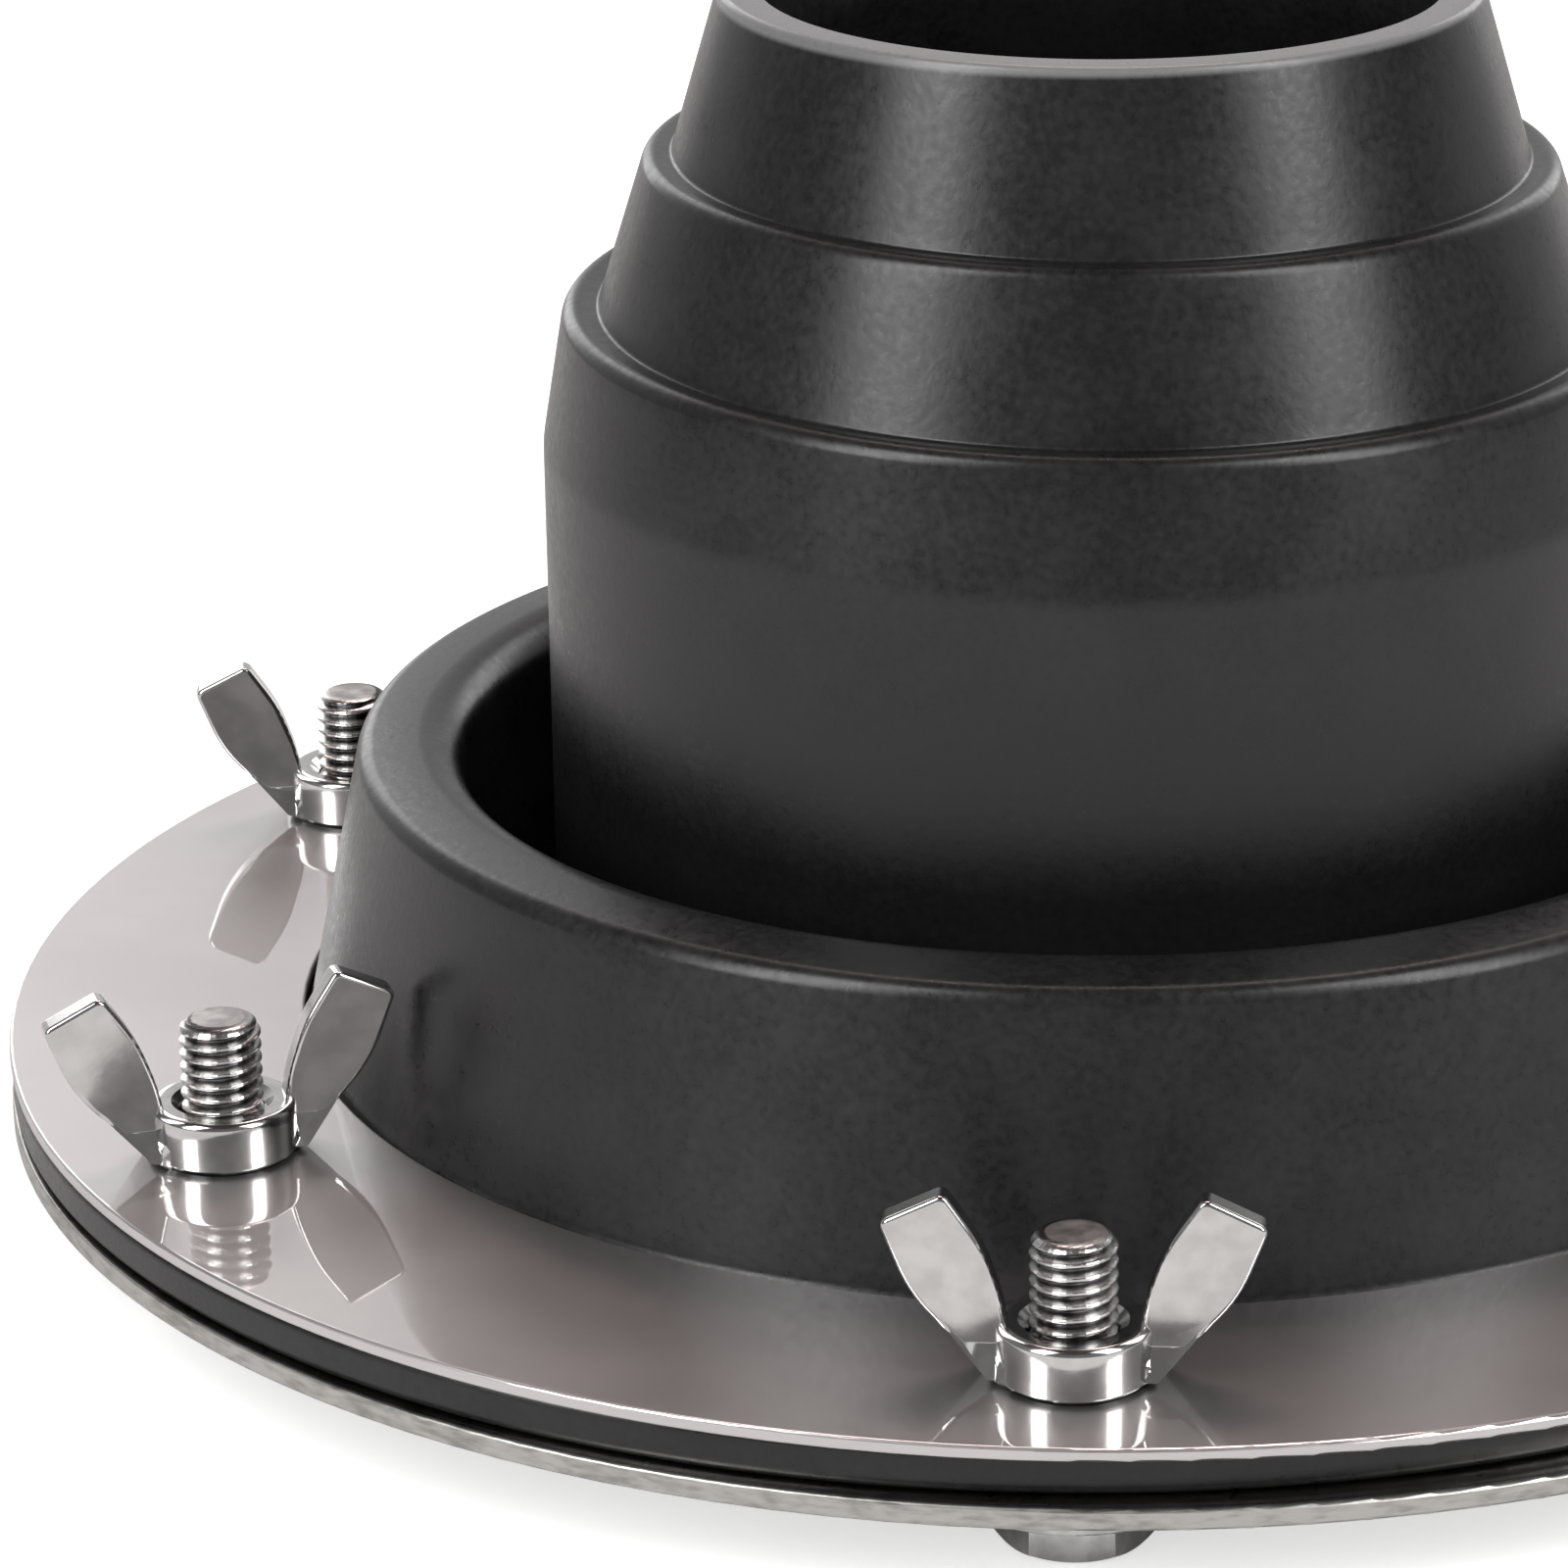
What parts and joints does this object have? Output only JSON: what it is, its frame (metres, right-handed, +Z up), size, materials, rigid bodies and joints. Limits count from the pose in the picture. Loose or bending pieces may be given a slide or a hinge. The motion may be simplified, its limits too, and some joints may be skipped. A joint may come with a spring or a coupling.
{
  "type": "tent stove jack",
  "caption": "Round stove pipe outlet for a tent: a stepped rubber boot clamped between two steel rings by bolts with washers and wing nuts.",
  "frame": {"origin": "on the pipe axis, in the plane of the undersides of the bolt heads, which the jack stands on", "axes": "+Z up along the pipe passage, towards the narrow end of the boot; -Y towards the front bolt"},
  "size_m": [0.168, 0.168, 0.0902],
  "materials": {
    "rubber": "matte moulded charcoal rubber",
    "polished_ring": "mirror polished stainless steel",
    "plain_ring": "stainless steel with a sheared edge",
    "bolt_steel": "bright stainless steel, rolled thread",
    "washer_steel": "plain stainless steel, punched",
    "nut_steel": "bright cast stainless steel"
  },
  "bodies": {
    "jack": {"rubber_boot": "rubber", "upper_ring": "polished_ring", "lower_ring": "plain_ring", "hex_bolt_1": "bolt_steel", "hex_bolt_2": "bolt_steel", "hex_bolt_3": "bolt_steel", "hex_bolt_4": "bolt_steel", "hex_bolt_5": "bolt_steel", "hex_bolt_6": "bolt_steel", "washer_1": "washer_steel", "washer_2": "washer_steel", "washer_3": "washer_steel", "washer_4": "washer_steel", "washer_5": "washer_steel", "washer_6": "washer_steel"},
    "nut_1": {"wing_nut_1": "nut_steel"},
    "nut_2": {"wing_nut_2": "nut_steel"},
    "nut_3": {"wing_nut_3": "nut_steel"},
    "nut_4": {"wing_nut_4": "nut_steel"},
    "nut_5": {"wing_nut_5": "nut_steel"},
    "nut_6": {"wing_nut_6": "nut_steel"}
  },
  "joints": [
    {"name": "wing_nut_1_turn", "type": "hinge", "parent": "jack", "child": "nut_1", "pos_m": [0, -0.07251, 0.0116], "axis": [0, 0, 1], "range_deg": [0, 2268]},
    {"name": "wing_nut_2_turn", "type": "hinge", "parent": "jack", "child": "nut_2", "pos_m": [0.06279, -0.03625, 0.0116], "axis": [0, 0, 1], "range_deg": [0, 2268]},
    {"name": "wing_nut_3_turn", "type": "hinge", "parent": "jack", "child": "nut_3", "pos_m": [0.06279, 0.03625, 0.0116], "axis": [0, 0, 1], "range_deg": [0, 2268]},
    {"name": "wing_nut_4_turn", "type": "hinge", "parent": "jack", "child": "nut_4", "pos_m": [0, 0.07251, 0.0116], "axis": [0, 0, 1], "range_deg": [0, 2268]},
    {"name": "wing_nut_5_turn", "type": "hinge", "parent": "jack", "child": "nut_5", "pos_m": [-0.06279, 0.03625, 0.0116], "axis": [0, 0, 1], "range_deg": [0, 2268]},
    {"name": "wing_nut_6_turn", "type": "hinge", "parent": "jack", "child": "nut_6", "pos_m": [-0.06279, -0.03625, 0.0116], "axis": [0, 0, 1], "range_deg": [0, 2268]}
  ]
}
